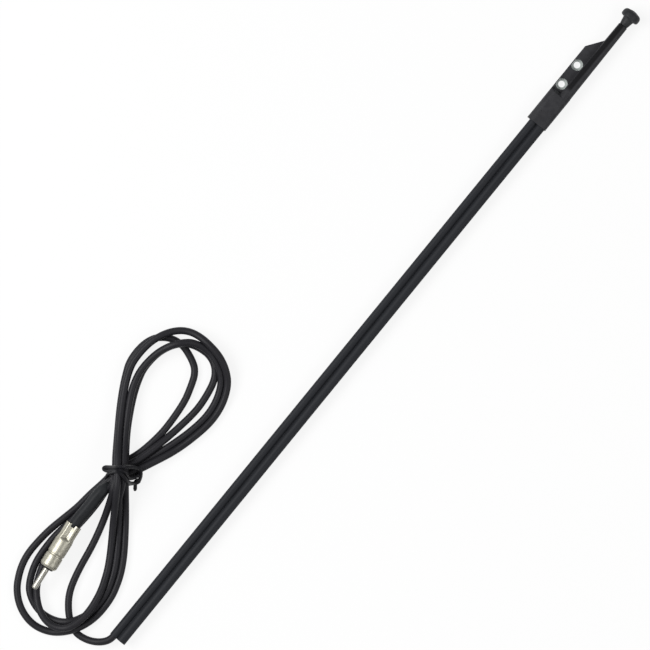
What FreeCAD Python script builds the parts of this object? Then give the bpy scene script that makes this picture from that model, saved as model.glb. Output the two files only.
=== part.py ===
import FreeCAD, Part
import math
import os

# Telescopic pillar antenna, mast pushed in, with its lead wound in a figure of eight.
# Millimetres. The origin is midway between the two screw holes, on the mounting face.
# +X runs along the mast to the knob, +Y towards the flange's free edge, +Z off the face.

# Mast axis, from the screw line and above the mounting face
axis_y = -5.6
axis_z = 5.3

# Screws and earth plate
screw_spacing = 12.5
screw_hole_r = 1.7
plate_thick = 1.0
plate_width = 5.5
plate_end_margin = 4.9
plate_corner_r = 1.0
tab_thick = 0.8
tab_width = 1.8
tab_height = 4.6
tab_from_sheath = 3.0

# Moulded bracket
sleeve_length = 18.3
sleeve_wall_right = 0.5
sleeve_wall_left = 1.6
sleeve_wall_top = 0.5
sleeve_left_r = 3.5
flange_low_margin = 5.75
flange_high_margin = 10.05
flange_chamfer_length = 8.4
flange_thick = 3.8
flange_edge_r = 0.5
ramp_length = 2.0
ridge_low_r = 2.95
barrel_top_r = 2.5
barrel_free_length = 11.8
barrel_edge_r = 0.3
mouth_lip = 1.7
window_r = 3.05
window_rim = 0.5

# Twin sheath
sheath_length = 350.5
sheath_mast_r = 2.5
sheath_cable_r = 2.2
sheath_pitch = 4.65
sheath_web = 1.6
tube_recess = 3.0

# Room inside the bracket where the cable ends
pocket_length = 5.6
pocket_wall = 0.9
pocket_mast_r = 2.42
pocket_cable_r = 1.9
pocket_web = 3.2

# Mast tubes and rod
guide_r = 2.0
guide_wall = 0.25
middle_r = 1.5
middle_wall = 0.25
rod_r = 1.0
rim_length = 0.8
mast_stand = 1.2
end_plug_head = 1.0
end_plug_spigot = 5.0
drain_r = 0.5
middle_bush_flange = 5.0
middle_bush_spigot = 6.0
middle_spring_length = 20.0
rod_bush_length = 5.0
rod_spigot_r = 0.6
rod_spring_length = 16.0
spring_slot = 1.0
lightening_r = 0.6

# Knob
knob_neck_r = 2.3
knob_throat_r = 3.0
knob_neck_length = 3.9
knob_head_r = 5.0
knob_head_thick = 5.0
knob_dome = 0.5
knob_under_r = 1.2
knob_top_r = 2.2
knob_bore_depth = 5.4
knob_flat_r = 0.6

# Cable and its stripped end
cable_r = 1.8
dielectric_r = 0.7
dielectric_length = 1.5
core_r = 0.3
jacket_stop = 1.0
clip_wall = 0.33
clip_length = 3.5
ear_thick = 0.6
ear_height = 1.2
braid_r = 0.45

# Plug
plug_tip = (-375.8, 45.8)
plug_turn = 7.0
pin_r = 1.55
pin_length = 13.0
pin_root = 6.0
pin_root_r = 1.8
pin_flat_r = 0.5
insulator_front = 0.8
insulator_depth = 5.0
insulator_nose_r = 3.3
shell_r = 4.6
shell_wall = 0.7
shell_length = 25.5
shell_chamfer = 1.0
collar_length = 7.2
collar_groove = 0.35
groove_width = 1.0
crimp_length = 8.5
crimp_r = 4.4
crimp_slot = 2.2
dimple_r = 1.3
dimple_sink = 0.45
boot_r = 3.3
boot_inside = 7.5

# Wire tie
tie_r = 0.8
tie_turn = -70.7
tie_span = 16.6
tie_side_swell = 0.4
tie_side_z = 4.4
tie_top_span = 9.4

# Clearances
moulded_fit = 0.05
sheath_fit = 0.03
sliding_fit = 0.05
pressed_fit = 0.02
rest_gap = 0.3
lip_gap = 0.15
cord_gap = 0.1

# Hank of cable: strand height, outline and openings, as it lies
layer = 3.8
double_layer = 7.3
mound_height = 13.6
crossing = (-303.5, 49.0)
hank_outline = [
    (-309.5, 53.5), (-322.0, 56.5), (-342.5, 59.5), (-358.5, 61.0), (-372.5, 59.0),
    (-382.5, 54.0), (-389.0, 45.5), (-391.0, 34.5), (-388.5, 24.5), (-384.5, 18.5),
    (-375.5, 12.5), (-363.5, 9.0), (-350.0, 10.5), (-336.0, 17.5), (-325.5, 24.5),
    (-314.0, 34.5), (-304.5, 41.5), (-296.0, 39.5), (-280.0, 33.0), (-262.5, 28.0),
    (-250.5, 27.0), (-236.0, 30.0), (-227.0, 36.5), (-220.5, 48.0), (-219.0, 62.5),
    (-223.5, 71.0), (-234.0, 78.5), (-243.5, 84.0), (-252.0, 85.0), (-267.0, 79.0),
    (-283.5, 68.5), (-295.0, 60.0),
]
hank_openings = [
    [(-292.5, 50.5), (-280.0, 60.5), (-269.0, 67.0), (-260.5, 70.0), (-250.5, 71.5),
     (-240.5, 70.0), (-233.0, 65.5), (-235.0, 59.0), (-238.5, 54.0), (-247.5, 50.5),
     (-256.5, 49.5), (-269.0, 48.5), (-280.5, 48.0)],
    [(-230.0, 59.5), (-228.0, 54.5), (-229.5, 47.5), (-237.0, 42.5), (-247.5, 41.5),
     (-259.0, 42.0), (-270.0, 43.5), (-259.5, 44.5), (-247.5, 46.0), (-236.5, 51.5)],
    [(-316.0, 43.0), (-321.5, 35.5), (-334.0, 30.5), (-345.5, 24.5), (-357.5, 19.5),
     (-367.5, 18.0), (-376.0, 21.5), (-379.5, 28.0), (-381.0, 33.5), (-379.0, 38.5),
     (-374.5, 42.5), (-369.5, 45.5), (-362.5, 47.0), (-354.0, 48.5), (-342.5, 49.5),
     (-327.5, 48.5)],
]
double_zones = [
    [(-309.0, 95.0), (-309.0, 20.0), (-210.0, 20.0), (-210.0, 95.0)],
    [(-309.0, 47.5), (-309.0, 20.0), (-340.0, 5.0), (-384.0, 5.0), (-386.0, 18.5),
     (-378.0, 24.0), (-368.0, 19.0), (-345.0, 26.0), (-322.0, 38.0)],
]
mound_foot = [
    (-318.0, 44.0), (-310.0, 38.5), (-296.0, 40.5), (-286.5, 45.0), (-284.5, 53.0),
    (-294.0, 57.5), (-308.0, 54.5), (-317.0, 52.0),
]
mound_top_share = 0.45

# Route of the lead from the sheath to the crossing, after its exit
lead_route = [
    (-374.1, -0.8, 5.0), (-378.5, 1.9, 4.0), (-380.9, 6.8, 2.8), (-381.0, 12.6, 2.0),
    (-378.7, 19.2, 1.9), (-373.6, 25.4, 1.9), (-365.6, 30.6, 1.9), (-354.0, 34.0, 1.9),
    (-340.0, 36.6, 1.9), (-326.0, 40.4, 2.4), (-314.0, 44.8, 5.2), (-304.0, 48.4, 8.2),
]
boot_route = [(9.0, 0.0, 0.0), (19.5, -1.4, 0.4), (31.5, -2.7, 1.5)]
tie_left_tail = [(-306.4, 57.2, 4.6), (-307.4, 60.0, 5.0), (-306.6, 62.6, 4.2)]
tie_right_tail = [(-300.7, 40.9, 4.6), (-299.6, 38.0, 5.2), (-303.6, 35.6, 4.2)]
run_share = 0.45

# Stations along the mast that follow from the sizes above
sleeve_top_x = -screw_spacing / 2 - flange_low_margin
sleeve_low_x = sleeve_top_x - sleeve_length
chamfer_x = screw_spacing / 2 + flange_high_margin
flange_end_x = chamfer_x + flange_chamfer_length
barrel_top_x = flange_end_x + barrel_free_length
sheath_top_x = sleeve_top_x - pocket_wall - pocket_length
sheath_low_x = sheath_top_x - sheath_length
guide_top_x = barrel_top_x - mouth_lip
guide_low_x = sheath_low_x + tube_recess
guide_bore_r = guide_r - guide_wall
middle_low_x = guide_low_x + end_plug_spigot + rest_gap
middle_tube_x = middle_low_x + middle_bush_flange
middle_top_x = guide_top_x + mast_stand
middle_bore_r = middle_r - middle_wall
rod_low_x = middle_tube_x + middle_bush_spigot + rest_gap
rod_shoulder_x = rod_low_x + rod_bush_length
knob_x = barrel_top_x + rest_gap

# Heights and sides of the bracket
cable_y = axis_y + sheath_pitch
sleeve_right_r = sheath_mast_r + moulded_fit + sleeve_wall_right
sleeve_top_z = axis_z + sheath_mast_r + moulded_fit + sleeve_wall_top
bracket_left_y = cable_y + sheath_cable_r + moulded_fit + sleeve_wall_left
bracket_right_y = axis_y - sleeve_right_r
window_flat_y = bracket_left_y - window_rim
plate_left_y = window_flat_y - moulded_fit
plate_right_y = plate_left_y - plate_width
tab_x = sheath_top_x + tab_from_sheath
plate_low_x = tab_x - plate_corner_r
plate_high_x = screw_spacing / 2 + plate_end_margin
plug_z = layer + shell_r + cord_gap


def vec(x, y, z):
    return FreeCAD.Vector(x, y, z)


def rod_x(radius, low, high, y=axis_y, z=axis_z):
    """Round bar along X between two stations."""
    return Part.makeCylinder(radius, high - low, vec(low, y, z), vec(1, 0, 0))


def ring_x(outer, inner, low, high, y=axis_y, z=axis_z):
    return rod_x(outer, low, high, y, z).cut(rod_x(inner, low - 1, high + 1, y, z))


def block(x, y, z):
    """Box between pairs of coordinates."""
    return Part.makeBox(x[1] - x[0], y[1] - y[0], z[1] - z[0], vec(x[0], y[0], z[0]))


def turned(edges, y=axis_y, z=axis_z):
    """Solid of revolution about a line along X; the edges are drawn in X and radius."""
    face = Part.Face(Part.Wire(Part.__sortEdges__(edges)))
    solid = face.revolve(vec(0, 0, 0), vec(1, 0, 0), 360)
    solid.translate(vec(0, y, z))
    return solid


def line(a, b):
    return Part.makeLine(vec(a[0], a[1], 0), vec(b[0], b[1], 0))


def polyline(points):
    return [line(a, b) for a, b in zip(points, points[1:])]


def prism(points, low, high):
    """Upright prism over an outline with straight sides."""
    corners = [vec(x, y, low) for x, y in points]
    return Part.Face(Part.makePolygon(corners + corners[:1])).extrude(vec(0, 0, high - low))


def eased_edges(points, closed):
    """Straight runs joined by tangent arcs, each as large as its shorter run allows."""
    count = len(points)
    radii = []
    arcs = []
    for i in range(count):
        if not closed and i in (0, count - 1):
            arcs.append((points[i], points[i], None))
            continue
        before = points[i] - points[i - 1]
        after = points[(i + 1) % count] - points[i]
        cut = run_share * min(before.Length, after.Length)
        u = before.normalize()
        v = after.normalize()
        half = u.getAngle(v) / 2
        radius = cut / math.tan(half)
        inward = (v - u).normalize()
        centre = points[i] + inward * (radius / math.cos(half))
        start, end = points[i] - u * cut, points[i] + v * cut
        arcs.append((start, end, Part.Arc(start, centre - inward * radius, end).toShape()))
        radii.append(radius)
    edges = []
    for i in range(count):
        if arcs[i][2]:
            edges.append(arcs[i][2])
        if closed or i < count - 1:
            edges.append(Part.makeLine(arcs[i][1], arcs[(i + 1) % count][0]))
    return edges, radii


def eased_prism(points, low, high):
    edges, _ = eased_edges([vec(x, y, low) for x, y in points], True)
    return Part.Face(Part.Wire(edges)).extrude(vec(0, 0, high - low))


def tube_along(points, radius, name, closed=False):
    """Round bar along a path of runs and arcs, with its radii and volume reported."""
    path = [vec(*p) for p in points]
    edges, radii = eased_edges(path, closed)
    wire = Part.Wire(edges)
    first = edges[0]
    start = first.valueAt(first.FirstParameter)
    heading = first.tangentAt(first.FirstParameter)
    section = Part.Wire(Part.makeCircle(radius, start, heading))
    solid = wire.makePipeShell([section], True, True)
    share = solid.Volume / (math.pi * radius**2 * wire.Length)
    print(f"{name}: length {wire.Length:.1f} radii {[round(r, 1) for r in radii]} volume share {share:.4f}")
    return solid


def twin_bar(mast_radius, cable_radius, web, low, high):
    """Two round bars side by side on the mast and cable axes, joined by a web."""
    web_block = block((low, high), (axis_y, cable_y), (axis_z - web / 2, axis_z + web / 2))
    bars = rod_x(mast_radius, low, high).fuse([rod_x(cable_radius, low, high, cable_y), web_block])
    return bars.removeSplitter()


def make_sheath():
    shell = twin_bar(sheath_mast_r, sheath_cable_r, sheath_web, sheath_low_x, sheath_top_x)
    mast_bore = rod_x(guide_r + sheath_fit, sheath_low_x - 1, sheath_top_x + 1)
    cable_bore = rod_x(cable_r + sheath_fit, sheath_low_x - 1, sheath_top_x + 1, cable_y)
    return shell.cut([mast_bore, cable_bore])


def sleeve_solid():
    """Lower part of the bracket: flat back, round side over the mast, fuller left side."""
    right, left, top = bracket_right_y, bracket_left_y, sleeve_top_z
    left_mid_y = left - sleeve_left_r
    left_mid_z = top - sleeve_left_r
    diagonal = math.sqrt(0.5)
    x = sleeve_low_x

    def at(y, z):
        return vec(x, y, z)

    right_arc = Part.Arc(
        at(right, top - sleeve_right_r),
        at(axis_y - sleeve_right_r * diagonal, top - sleeve_right_r * (1 - diagonal)),
        at(axis_y, top),
    )
    left_arc = Part.Arc(
        at(left_mid_y, top),
        at(left_mid_y + sleeve_left_r * diagonal, left_mid_z + sleeve_left_r * diagonal),
        at(left, left_mid_z),
    )
    edges = [
        Part.makeLine(at(right, 0), at(right, top - sleeve_right_r)),
        right_arc.toShape(),
        Part.makeLine(at(axis_y, top), at(left_mid_y, top)),
        left_arc.toShape(),
        Part.makeLine(at(left, left_mid_z), at(left, 0)),
        Part.makeLine(at(left, 0), at(right, 0)),
    ]
    return Part.Face(Part.Wire(edges)).extrude(vec(sleeve_length + ramp_length, 0, 0))


def ramp_cut():
    """What is taken off the sleeve's upper end so that it slopes down to the flange."""
    corners = [
        vec(sleeve_top_x, bracket_right_y - 1, sleeve_top_z),
        vec(sleeve_top_x + ramp_length, bracket_right_y - 1, flange_thick),
        vec(sleeve_top_x + ramp_length + 1, bracket_right_y - 1, flange_thick),
        vec(sleeve_top_x + ramp_length + 1, bracket_right_y - 1, sleeve_top_z + 1),
        vec(sleeve_top_x, bracket_right_y - 1, sleeve_top_z + 1),
    ]
    width = bracket_left_y - bracket_right_y + 2
    return Part.Face(Part.makePolygon(corners + corners[:1])).extrude(vec(0, width, 0))


def ridge_wire(x, radius):
    """Upside-down U over the mast axis, down to the mounting face."""
    left, right = axis_y + radius, axis_y - radius
    arc = Part.Arc(vec(x, right, axis_z), vec(x, axis_y, axis_z + radius), vec(x, left, axis_z))
    sides = [
        Part.makeLine(vec(x, left, axis_z), vec(x, left, 0)),
        Part.makeLine(vec(x, left, 0), vec(x, right, 0)),
        Part.makeLine(vec(x, right, 0), vec(x, right, axis_z)),
    ]
    return Part.Wire([arc.toShape()] + sides)


def barrel_radius(x):
    share = (x - sleeve_top_x) / (barrel_top_x - sleeve_top_x)
    return ridge_low_r + (barrel_top_r - ridge_low_r) * share


def flange_solid():
    outline = [
        (sleeve_top_x - 1, axis_y), (sleeve_top_x - 1, bracket_left_y),
        (chamfer_x, bracket_left_y), (flange_end_x, axis_y + barrel_radius(flange_end_x)),
        (flange_end_x, axis_y),
    ]
    flange = prism(outline, 0, flange_thick)
    top_edges = []
    for edge in flange.Edges:
        ends = [v.Point for v in edge.Vertexes]
        on_top = all(abs(p.z - flange_thick) < 1e-6 for p in ends)
        outside = all(p.y > axis_y + 1 for p in ends)
        if on_top and outside:
            top_edges.append(edge)
    return flange.makeFillet(flange_edge_r, top_edges)


def window_cut(x):
    """Clearance for a screw head: round, with a flat along the flange's edge."""
    hole = Part.makeCylinder(window_r, flange_thick + 2, vec(x, 0, -1))
    beyond = (window_flat_y, window_flat_y + window_r)
    rim = block((x - window_r, x + window_r), beyond, (-2, flange_thick + 2))
    return hole.cut(rim)


def plate_blank(grow):
    """Outline of the earth plate, grown by a clearance for its recess."""
    low, high = plate_low_x - grow, plate_high_x + grow
    right, left = plate_right_y - grow, plate_left_y + grow
    blank = block((low, high), (right, left), (0, plate_thick))
    upright = [e for e in blank.Edges if abs(e.tangentAt(e.FirstParameter).z) > 0.5]
    return blank.makeFillet(plate_corner_r, upright)


def tab_block(grow):
    """Tab that stands up from the plate beside the cable's end."""
    y = cable_y + dielectric_r
    return block(
        (tab_x - grow, tab_x + tab_thick + grow),
        (y - tab_width / 2 - grow, y + tab_width / 2 + grow),
        (0, tab_height + grow),
    )


def make_earth_plate():
    plate = plate_blank(0).fuse(tab_block(0)).removeSplitter()
    for x in (-screw_spacing / 2, screw_spacing / 2):
        plate = plate.cut(Part.makeCylinder(screw_hole_r, plate_thick + 2, vec(x, 0, -1)))
    return plate


def make_bracket():
    sleeve = sleeve_solid().cut(ramp_cut())
    ridge = Part.makeLoft(
        [ridge_wire(sleeve_top_x - 1, barrel_radius(sleeve_top_x - 1)),
         ridge_wire(flange_end_x, barrel_radius(flange_end_x))], True, True)
    barrel = turned(
        polyline([(sleeve_top_x - 1, 0), (sleeve_top_x - 1, barrel_radius(sleeve_top_x - 1)),
                  (barrel_top_x - barrel_edge_r, barrel_radius(barrel_top_x - barrel_edge_r)),
                  (barrel_top_x, barrel_top_r - barrel_edge_r), (barrel_top_x, 0),
                  (sleeve_top_x - 1, 0)]))
    body = sleeve.fuse([flange_solid(), ridge, barrel]).removeSplitter()
    socket_top = sheath_top_x
    socket = twin_bar(
        sheath_mast_r + moulded_fit, sheath_cable_r + moulded_fit,
        sheath_web + 2 * moulded_fit, sleeve_low_x - 1, socket_top)
    pocket = twin_bar(
        pocket_mast_r, pocket_cable_r, pocket_web, socket_top - 0.1, socket_top + pocket_length)
    guide_bore = rod_x(guide_r + moulded_fit, socket_top, guide_top_x + moulded_fit)
    mouth = rod_x(middle_r + lip_gap, guide_top_x - 1, barrel_top_x + 1)
    windows = [window_cut(x) for x in (-screw_spacing / 2, screw_spacing / 2)]
    recess = plate_blank(moulded_fit)
    recess.translate(vec(0, 0, -moulded_fit))
    deep_recess = plate_blank(moulded_fit)
    cuts = [socket, pocket, guide_bore, mouth, recess, deep_recess, tab_block(moulded_fit)]
    return body.cut(cuts + windows).removeSplitter()


def make_guide_tube():
    rim_r = middle_r + sliding_fit
    bore = rod_x(guide_bore_r, guide_low_x - 1, guide_top_x - rim_length)
    rim = rod_x(rim_r, guide_top_x - rim_length - 1, guide_top_x + 1)
    return rod_x(guide_r, guide_low_x, guide_top_x).cut([bore, rim])


def make_end_plug():
    head = rod_x(guide_r, guide_low_x - end_plug_head, guide_low_x)
    spigot = rod_x(guide_bore_r - pressed_fit, guide_low_x, guide_low_x + end_plug_spigot)
    drain = rod_x(drain_r, guide_low_x - end_plug_head - 1, guide_low_x + end_plug_spigot + 1)
    return head.fuse(spigot).cut(drain)


def make_middle_tube():
    bore = rod_x(middle_bore_r, middle_tube_x - 1, middle_top_x - rim_length)
    rim = rod_x(rod_r + sliding_fit, middle_top_x - rim_length - 1, middle_top_x + 1)
    return rod_x(middle_r, middle_tube_x, middle_top_x).cut([bore, rim])


def make_middle_bush():
    flange = rod_x(guide_bore_r - sliding_fit, middle_low_x, middle_tube_x)
    spigot = rod_x(middle_bore_r - pressed_fit, middle_tube_x, middle_tube_x + middle_bush_spigot)
    air = rod_x(lightening_r, middle_low_x - 1, middle_tube_x + middle_bush_spigot + 1)
    return flange.fuse(spigot).cut(air)


def make_spring(outer, inner, low, length):
    """Split sleeve that grips the tube it slides in."""
    sleeve = ring_x(outer, inner, low, low + length)
    slot = block((low - 1, low + length + 1), (axis_y - spring_slot / 2, axis_y + spring_slot / 2),
                 (axis_z, axis_z + outer + 1))
    return sleeve.cut(slot)


def make_rod():
    spigot = rod_x(rod_spigot_r, rod_low_x, rod_shoulder_x)
    return rod_x(rod_r, rod_shoulder_x, knob_x + knob_bore_depth).fuse(spigot)


def make_knob():
    """Mushroom knob: flared neck, full rounded head with a low dome."""
    head_x = knob_x + knob_neck_length
    top_x = head_x + knob_head_thick
    bore = rod_r + pressed_fit
    deep = knob_x + knob_bore_depth + pressed_fit
    under_mid = (head_x + knob_under_r * 0.29, knob_head_r - knob_under_r * 0.29)
    under_arc = Part.Arc(
        vec(head_x, knob_head_r - knob_under_r, 0), vec(*under_mid, 0),
        vec(head_x + knob_under_r, knob_head_r, 0))
    shoulder = (top_x - knob_dome - knob_top_r, knob_head_r)
    shoulder_end = (top_x - knob_dome, knob_head_r - knob_top_r)
    top_arc = Part.Arc(
        vec(*shoulder, 0),
        vec(shoulder[0] + knob_top_r * 0.7071, shoulder_end[1] + knob_top_r * 0.7071, 0),
        vec(*shoulder_end, 0))
    dome = Part.Arc(
        vec(*shoulder_end, 0), vec(top_x - knob_dome * 0.25, shoulder_end[1] / 2, 0),
        vec(top_x, knob_flat_r, 0))
    edges = polyline([
        (top_x, knob_flat_r), (top_x, 0), (deep, 0), (deep, bore), (knob_x, bore), (knob_x, knob_neck_r),
        (head_x - 0.4, knob_throat_r), (head_x, knob_throat_r + 0.3), (head_x, knob_head_r - knob_under_r)])
    edges += [under_arc.toShape(), line((head_x + knob_under_r, knob_head_r), shoulder),
              top_arc.toShape(), dome.toShape()]
    return turned(edges)


def make_clip():
    """Spring clip round the guide tube, with an ear for the cable's core."""
    high = sheath_top_x + pocket_length - jacket_stop / 2
    inner = guide_r + pressed_fit
    ring = rod_x(inner + clip_wall, high - clip_length, high)
    ear = block(
        (high - ear_thick, high), (axis_y, cable_y + core_r),
        (axis_z - ear_height / 2, axis_z + ear_height / 2))
    return ring.fuse(ear).cut(rod_x(inner, high - clip_length - 1, high + 1))


def cable_end_parts():
    """Cable in the sheath, its stripped insulation, its core and its gathered braid."""
    jacket_x = sheath_top_x + jacket_stop
    core_low = jacket_x + dielectric_length
    ear_x = sheath_top_x + pocket_length - jacket_stop / 2 - ear_thick
    braid_y = cable_y + dielectric_r + braid_r / 2
    braid_z = axis_z - dielectric_r - braid_r / 2
    return {
        "coax_cable": rod_x(cable_r, sheath_low_x, jacket_x, cable_y),
        "coax_insulation": rod_x(dielectric_r, jacket_x, core_low, cable_y),
        "coax_core": rod_x(core_r, core_low, ear_x, cable_y),
        "braid_tail": rod_x(braid_r, jacket_x, tab_x, braid_y, braid_z),
    }


def place_plug(shape):
    """From the plug's own frame, pin tip at zero and cable towards +X, to where it lies."""
    shape.rotate(vec(0, 0, 0), vec(0, 0, 1), plug_turn)
    shape.translate(vec(plug_tip[0], plug_tip[1], plug_z))
    return shape


def make_pin():
    nose_r = pin_r - pin_flat_r
    root_x = pin_length - insulator_front
    end_x = pin_length + pin_root
    profile = polyline([(0, pin_flat_r), (0, 0), (end_x, 0), (end_x, pin_root_r), (root_x, pin_root_r),
                        (root_x, pin_r), (nose_r, pin_r)])
    nose = Part.Arc(
        vec(nose_r, pin_r, 0), vec(nose_r * 0.2929, pin_flat_r + nose_r * 0.7071, 0), vec(0, pin_flat_r, 0))
    return turned(profile + [nose.toShape()], 0, 0)


def make_insulator():
    front = pin_length - insulator_front
    inside = shell_r - shell_wall - pressed_fit
    bore = pin_root_r + pressed_fit
    back = pin_length + insulator_depth
    return turned(polyline([
        (front, bore), (front, insulator_nose_r - 0.3), (front + 0.3, insulator_nose_r),
        (pin_length + 0.2, insulator_nose_r), (pin_length + 0.2, inside), (back, inside),
        (back, bore), (front, bore)]), 0, 0)


def make_shell():
    """Pressed shell: chamfered collar, groove, body, then the slotted crimp barrel."""
    low = pin_length
    lip_in = insulator_nose_r + pressed_fit
    inside = shell_r - shell_wall
    groove = low + collar_length
    crimp = low + shell_length - crimp_length
    end = low + shell_length
    bore = boot_r + pressed_fit
    shell = turned(polyline([
        (low, lip_in), (low, shell_r - shell_chamfer * 0.6), (low + shell_chamfer, shell_r),
        (groove, shell_r), (groove + groove_width * 0.3, shell_r - collar_groove),
        (groove + groove_width * 0.7, shell_r - collar_groove), (groove + groove_width, shell_r),
        (crimp - 0.6, shell_r), (crimp, crimp_r), (end, crimp_r), (end, bore), (crimp - 1.0, bore),
        (crimp - 1.0, inside), (low + 0.2, inside), (low + 0.2, lip_in), (low, lip_in)]), 0, 0)
    slot = block((crimp + 1.5, end + 1), (-crimp_slot / 2, crimp_slot / 2), (0, shell_r + 1))
    dimples = []
    for angle in (35, 90, 145):
        away = shell_r + dimple_r - dimple_sink
        y, z = away * math.cos(math.radians(angle)), away * math.sin(math.radians(angle))
        dimples.append(Part.makeSphere(dimple_r, vec(crimp - 2.2, y, z)))
    return shell.cut([slot] + dimples)


def boot_points():
    start = pin_length + shell_length - boot_inside
    return [(start, 0, 0)] + [(start + x, y, z) for x, y, z in boot_route]


def make_boot():
    """Soft sleeve from inside the crimp barrel to the tie."""
    return tube_along(boot_points(), boot_r, "plug_boot")


def make_lead():
    """The single strand that runs from the sheath to the crossing."""
    exit_point = (sheath_low_x, cable_y, axis_z)
    return tube_along([exit_point] + lead_route, cable_r, "cable_lead")


def make_mound():
    """Where the two bundles cross under the tie: sloped sides up to a small flat top."""
    cx, cy = crossing
    top = [(cx + (x - cx) * mound_top_share, cy + (y - cy) * mound_top_share) for x, y in mound_foot]
    wires = []
    for points, z in ((mound_foot, 0), (mound_foot, layer), (top, mound_height)):
        corners = [vec(x, y, z) for x, y in points]
        wires.append(Part.makePolygon(corners + corners[:1]))
    return Part.makeLoft(wires, True, True)


def make_hank():
    """Outer form of the wound cable: single and double layers with a mound at the tie."""
    def spread(low, high):
        bundle = eased_prism(hank_outline, low, high)
        return bundle.cut([eased_prism(hole, low - 1, high + 1) for hole in hank_openings])

    hank = spread(0, layer)
    upper = spread(layer, double_layer)
    doubled = [upper.common(prism(zone, layer, double_layer)) for zone in double_zones]
    return hank.fuse(doubled + [make_mound()]).removeSplitter()


def tie_ring_points():
    """Rounded rectangle that goes over the mound and under the bundle."""
    turn = math.radians(tie_turn)
    ux, uy = math.cos(turn), math.sin(turn)
    half, side, top = tie_span / 2, tie_span / 2 + tie_side_swell, tie_top_span / 2
    low, high = tie_r, mound_height + tie_r + cord_gap
    profile = [(-half, low), (half, low), (side, tie_side_z), (top, high), (-top, high), (-side, tie_side_z)]
    cx, cy = crossing
    return [(cx + a * ux, cy + a * uy, z) for a, z in profile]


def make_tie():
    ring = tube_along(tie_ring_points(), tie_r, "cable_tie", closed=True)
    tails = [tube_along(tie_left_tail, tie_r, "left tail"), tube_along(tie_right_tail, tie_r, "right tail")]
    return ring.fuse(tails)


def make_parts():
    parts = {
        "bracket": make_bracket(),
        "earth_plate": make_earth_plate(),
        "sheath": make_sheath(),
        "guide_tube": make_guide_tube(),
        "tube_end_plug": make_end_plug(),
        "contact_clip": make_clip(),
        "middle_tube": make_middle_tube(),
        "middle_tube_bush": make_middle_bush(),
        "middle_tube_spring": make_spring(
            guide_bore_r - sliding_fit, middle_r + pressed_fit, middle_tube_x, middle_spring_length),
        "mast_rod": make_rod(),
        "mast_rod_bush": ring_x(
            middle_bore_r - sliding_fit, rod_spigot_r + pressed_fit, rod_low_x, rod_shoulder_x),
        "mast_rod_spring": make_spring(
            middle_bore_r - sliding_fit, rod_r + pressed_fit, rod_shoulder_x, rod_spring_length),
        "mast_knob": make_knob(),
        "plug_pin": place_plug(make_pin()),
        "plug_insulator": place_plug(make_insulator()),
        "plug_shell": place_plug(make_shell()),
        "plug_boot": place_plug(make_boot()),
    }
    parts.update(cable_end_parts())
    hank = make_hank()
    tie = make_tie()
    lead = make_lead()
    boot = parts["plug_boot"]
    parts["cable_tie"] = tie
    parts["cable_lead"] = lead.cut(make_mound())
    parts["cable_hank"] = hank.cut([lead, boot, tie])
    return parts


def main():
    os.makedirs("parts", exist_ok=True)
    for name, shape in make_parts().items():
        state = "valid" if shape.isValid() else "NOT VALID"
        print(f"{name}: {len(shape.Solids)} solid, {shape.Volume:.1f} mm3, {state}")
        shape.exportStep(f"parts/{name}.step")


main()
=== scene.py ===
import math

import bmesh
import bpy
import numpy as np
from mathutils import Matrix, Vector


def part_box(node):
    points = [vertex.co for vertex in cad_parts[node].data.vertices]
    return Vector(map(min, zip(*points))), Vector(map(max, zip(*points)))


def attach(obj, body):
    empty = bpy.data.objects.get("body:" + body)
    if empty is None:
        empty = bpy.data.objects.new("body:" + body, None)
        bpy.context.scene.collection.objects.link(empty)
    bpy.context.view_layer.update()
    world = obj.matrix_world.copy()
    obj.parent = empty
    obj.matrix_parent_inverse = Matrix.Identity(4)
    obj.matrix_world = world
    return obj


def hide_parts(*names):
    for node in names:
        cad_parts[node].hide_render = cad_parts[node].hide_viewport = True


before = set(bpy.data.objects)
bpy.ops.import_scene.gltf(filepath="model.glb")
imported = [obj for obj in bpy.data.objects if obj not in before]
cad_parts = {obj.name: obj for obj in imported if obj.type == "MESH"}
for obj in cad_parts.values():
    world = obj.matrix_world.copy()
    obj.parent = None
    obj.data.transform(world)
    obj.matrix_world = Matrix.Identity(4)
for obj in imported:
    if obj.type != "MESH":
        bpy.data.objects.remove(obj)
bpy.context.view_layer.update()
mm = 0.001  # the sizes below are millimetres, the frame is metres
skyward = Vector((0.0, 0.0, 1.0))
bpy.context.scene.view_settings.view_transform = "Standard"


def toFrame(point):
    return Vector(point) * mm


# Camera: straight above the loops and the sheath, turned as the photograph is

view = {
    "over": (-177.9, 15.8),
    "height": 3688.0,
    "pictureUp": (0.77489, 0.63207),
    "lens": 400.0,
    "sensor": 36.0,
}

up = Vector((*view["pictureUp"], 0.0)).normalized()
right = up.cross(skyward)
facing = Matrix((right, up, skyward)).transposed().to_4x4()
camera = bpy.data.objects.new("camera", bpy.data.cameras.new("camera"))
camera.data.lens = view["lens"]
camera.data.sensor_width = view["sensor"]
camera.matrix_world = Matrix.Translation(toFrame((*view["over"], view["height"]))) @ facing
bpy.context.scene.collection.objects.link(camera)
bpy.context.scene.camera = camera
print("camera placed")


# Cable: the lead, then the passes of the two loops, then the tail into the plug

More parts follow.
